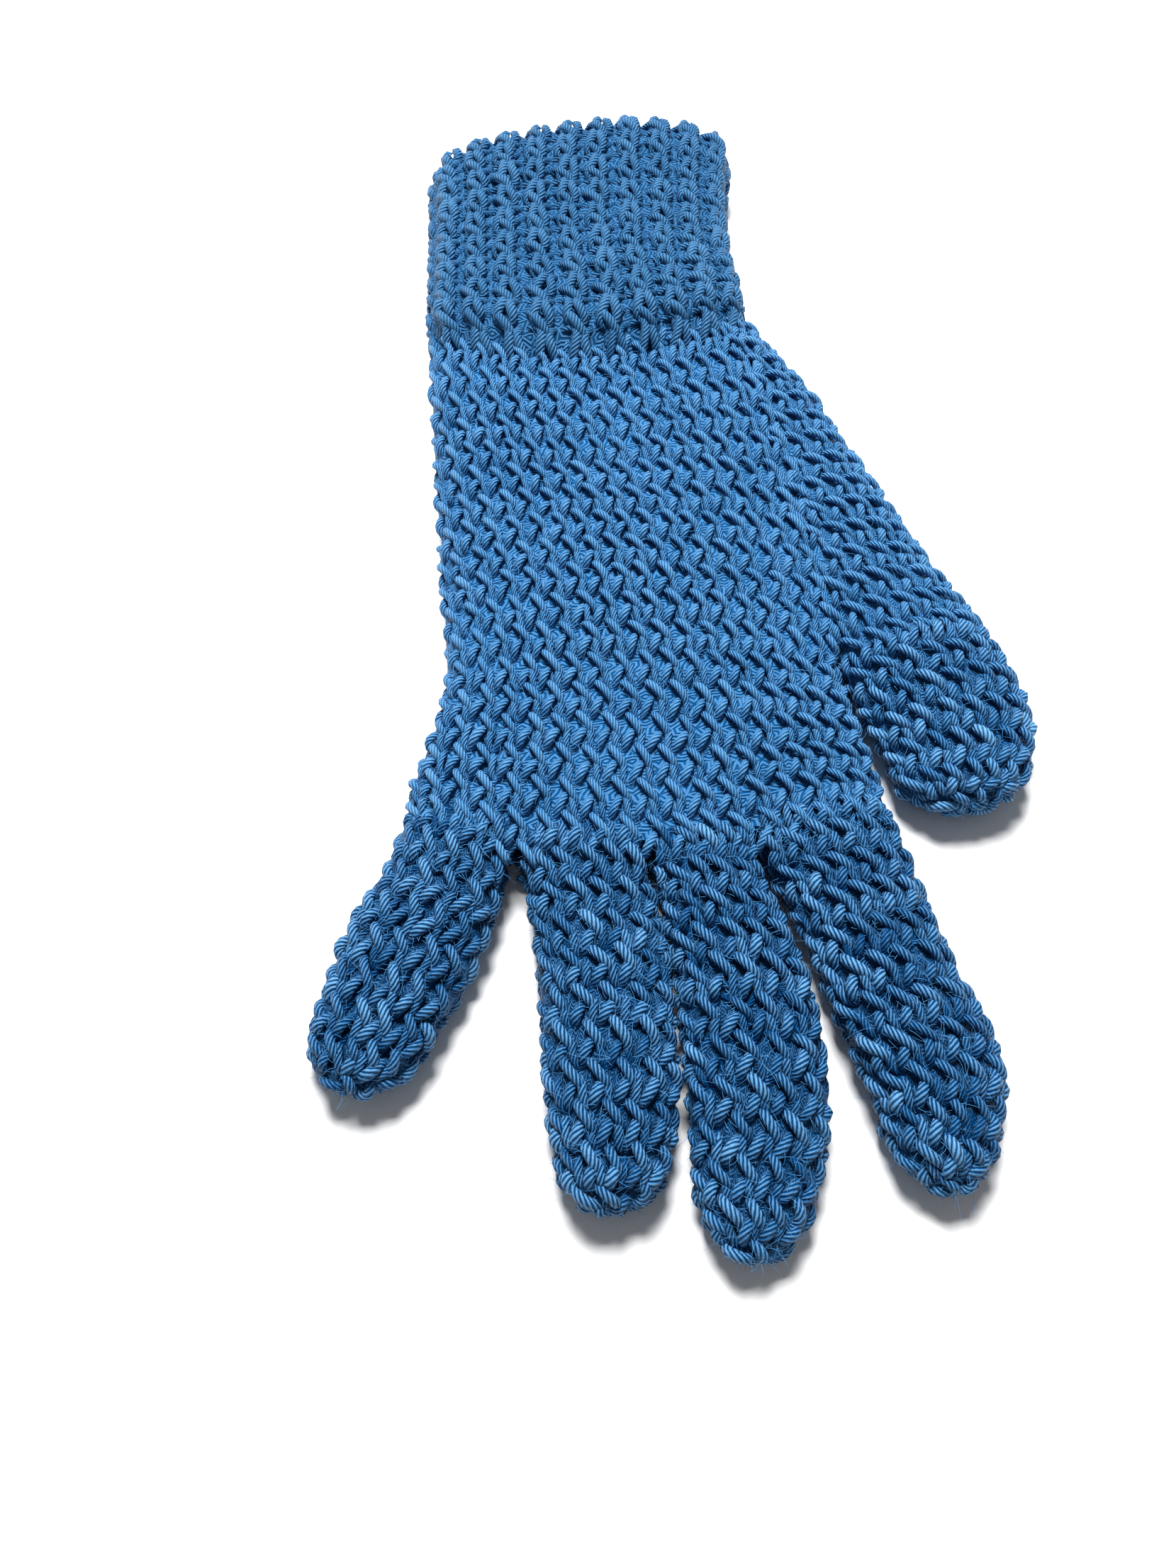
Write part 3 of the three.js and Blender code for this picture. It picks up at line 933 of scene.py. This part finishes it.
def wool_yarn(name, light, dark, darkest):
    """Plied wool yarn, spun and dyed: slanting plies with fine fibres, mottled, matt with a soft sheen.

    It turns from its dark to its light colour between a sum of shades of `darkest` and LIGHTEST. The twist
    paints highlight on the crests of the plies and shade in their grooves, and the tone brings painted shade.
    """
    material = bpy.data.materials.new(name)
    material.use_nodes = True
    tree = material.node_tree
    tree.nodes.clear()
    uv = node(tree, "ShaderNodeUVMap", uv_map="yarn")
    parts = node(tree, "ShaderNodeSeparateXYZ", {0: uv.outputs[0]})
    turn = node(tree, "ShaderNodeMath", {0: parts.outputs["X"], 1: 1 / TWIST_PITCH}, operation="MULTIPLY")
    slant = node(tree, "ShaderNodeMath", {0: parts.outputs["Y"], 1: STRANDS}, operation="MULTIPLY")
    ply = node(tree, "ShaderNodeMath", {0: turn.outputs[0], 1: slant.outputs[0]}, operation="ADD")
    cycle = node(tree, "ShaderNodeMath", {0: ply.outputs[0], 1: math.pi}, operation="MULTIPLY")
    wave = node(tree, "ShaderNodeMath", {0: cycle.outputs[0]}, operation="SINE")
    ridge = node(tree, "ShaderNodeMath", {0: wave.outputs[0]}, operation="ABSOLUTE")
    where = node(tree, "ShaderNodeNewGeometry").outputs["Position"]
    fibre_noise = {"Vector": where, "Scale": FIBRE_GRAIN, "Detail": 2.0, "Roughness": 0.6}
    fibre = node(tree, "ShaderNodeTexNoise", fibre_noise)
    dye = node(tree, "ShaderNodeTexNoise", {"Vector": where, "Scale": DYE_GRAIN, "Detail": 2.0})
    tone_with_shade = node(tree, "ShaderNodeAttribute", attribute_name="tone_with_shade")
    # The twist's share is painted highlight on the ply crests and painted shade in the grooves; the tone's
    # carries painted shade
    shades = [
        (ridge.outputs[0], TWIST_LIGHT_AND_SHADE_SHARE),
        (fibre.outputs[0], FIBRE_SHARE),
        (dye.outputs[0], DYE_SHARE),
        (tone_with_shade.outputs["Fac"], TONE_AND_SHADE_SHARE),
    ]
    total = 0.0
    for shade, share in shades:
        added = node(tree, "ShaderNodeMath", {0: shade, 1: share, 2: total}, operation="MULTIPLY_ADD")
        total = added.outputs[0]
    shade_range = {"Value": total, "From Min": darkest, "From Max": LIGHTEST}
    blend = node(tree, "ShaderNodeMapRange", shade_range)
    shades_of_blue = {"Factor": blend.outputs[0], 6: linear(dark), 7: linear(light)}
    colour = node(tree, "ShaderNodeMix", shades_of_blue, data_type="RGBA")
    relief = {0: fibre.outputs[0], 1: FIBRE_RELIEF, 2: ridge.outputs[0]}
    height = node(tree, "ShaderNodeMath", relief, operation="MULTIPLY_ADD")
    bump = node(
        tree,
        "ShaderNodeBump",
        {"Height": height.outputs[0], "Strength": 1.0, "Distance": TWIST_RELIEF},
    )
    surface = node(
        tree,
        "ShaderNodeBsdfPrincipled",
        {
            "Base Color": colour.outputs[2],
            "Roughness": 0.5,
            "Specular IOR Level": 0.4,
            "Specular Tint": linear("#6FB4F0"),
            "Sheen Weight": 0.05,
            "Sheen Roughness": 0.45,
            "Sheen Tint": linear("#8FC4F2"),
            "Normal": bump.outputs[0],
        },
    )
    out = node(tree, "ShaderNodeOutputMaterial")
    tree.links.new(surface.outputs[0], out.inputs[0])
    return material


def matt(name, colour, roughness):
    """A plain material of one colour, matt to the eye."""
    material = bpy.data.materials.new(name)
    material.use_nodes = True
    surface = material.node_tree.nodes["Principled BSDF"]
    surface.inputs["Base Color"].default_value = linear(colour)
    surface.inputs["Roughness"].default_value = roughness
    return material


def wool_hair(name, colour):
    """Single wool fibres: pale and matt, with hardly a gleam, so that they show as a soft down."""
    material = matt(name, colour, 0.8)
    material.node_tree.nodes["Principled BSDF"].inputs["Specular IOR Level"].default_value = 0.1
    return material


def floor():
    """Matt white backing paper under the glove."""
    mesh = bpy.data.meshes.new("floor")
    corners = [(x * FLOOR_REACH, y * FLOOR_REACH, 0) for x, y in ((-1, -1), (1, -1), (1, 1), (-1, 1))]
    mesh.from_pydata(corners, [], [(0, 1, 2, 3)])
    mesh.materials.append(matt("white_paper", "#F4F4F4", 0.9))
    made = bpy.data.objects.new("floor", mesh)
    bpy.context.scene.collection.objects.link(made)


def lights():
    """White studio light from all round, and a window above and behind the cuff that throws the shadows."""
    world = bpy.data.worlds.new("studio")
    world.use_nodes = True
    background = world.node_tree.nodes["Background"]
    background.inputs["Color"].default_value = linear("#FFFFFF")
    background.inputs["Strength"].default_value = STUDIO_LIGHT
    bpy.context.scene.world = world
    data = bpy.data.lights.new("window", "AREA")
    data.energy = WINDOW_POWER
    data.size = WINDOW_SIZE
    made = bpy.data.objects.new("window", data)
    made.location = WINDOW_AT
    made.rotation_euler = (-Vector(WINDOW_AT)).to_track_quat("-Z", "Y").to_euler()
    bpy.context.scene.collection.objects.link(made)


def build_glove():
    rng = np.random.default_rng(SEED)
    # One blue yarn in four lit and shaded copies: the fingers' have darker painted shade in their gaps and
    # paler painted highlights than the palm's, the thumb's are between the two, and the cuff's is darker all
    # over
    yarn = wool_yarn("blue_wool_yarn", "#629ACA", "#005088", 0.58)
    finger_yarn = wool_yarn("blue_wool_digit_yarn", "#6CA4D2", "#003A6A", 0.9)
    thumb_yarn = wool_yarn("blue_wool_thumb_yarn", "#70A8D6", "#004478", 0.82)
    rib_yarn = wool_yarn("blue_wool_rib_yarn", "#4B7CA6", "#00406E", 0.6)
    hair = wool_hair("blue_wool_hair", "#4E93CC")

    # The tubes of cloth, from the wrist to the fingertips
    palm = Cloth(PALM, COURSE)
    digits = {name: Cloth(with_tip(*table), DIGIT_COURSE) for name, table in DIGITS.items()}
    cuff = Cloth([*CUFF[::-1], TUCKED], RIB_COURSE)
    blend_tops([palm, *digits.values()])
    for cloth in [palm, cuff, *digits.values()]:
        cloth.finish()

    # Palm and back of the hand, and the thumb gusset
    back = Piece("hand_back")
    underside = Piece("hand_palm")
    knit(palm, in_palm, (back, underside), rng, HAND_YARN, INNER_FACE, wales=HAND_WALES)
    gusset = Piece("gusset_knit")
    knit(digits["thumb"], in_gusset, (gusset, gusset), rng, HAND_YARN, INNER_FACE)
    gusset.build(yarn, ["thumb_gusset"])
    back.build(yarn, ["hand"])
    underside.build(yarn, [])

    # Fingers and thumb
    regions = {name: in_thumb if name == "thumb" else in_finger for name in digits}
    for name, cloth in digits.items():
        piece = Piece(name + "_knit")
        wales = int(round(np.median(cloth.around) / DIGIT_WALE))
        knit(
            cloth, regions[name], (piece, piece), rng, DIGIT_YARN, DIGIT_INNER_FACE,
            wales=wales, loose=DIGIT_UNEVENNESS,
        )
        piece.build(thumb_yarn if name == "thumb" else finger_yarn, [name])

    # Ribbed cuff
    rib = Piece("cuff_rib")
    knit(cuff, everywhere, (rib, rib), rng, CUFF_YARN, RIB_INNER_FACE, wales=CUFF_WALES, ribbed=True)
    rib.build(rib_yarn, ["cuff"])

    # Loose fibres
    strewn = [
        (palm, in_palm, HAND_FIBRES, SHORT_FIBRE),
        (cuff, everywhere, CUFF_FIBRES, SHORT_FIBRE),
        (digits["thumb"], in_gusset, GUSSET_FIBRES, SHORT_FIBRE),
        (palm, in_palm, HAND_LONG_FIBRES, LONG_FIBRE),
        (digits["ring_finger"], in_finger, RING_FINGER_LONG_FIBRES, LONG_FIBRE),
    ]
    strewn += [(cloth, regions[name], DIGIT_FIBRES, SHORT_FIBRE) for name, cloth in digits.items()]
    loose_fibres("loose_fibres", strewn, rng, hair)


build_glove()
floor()
lights()
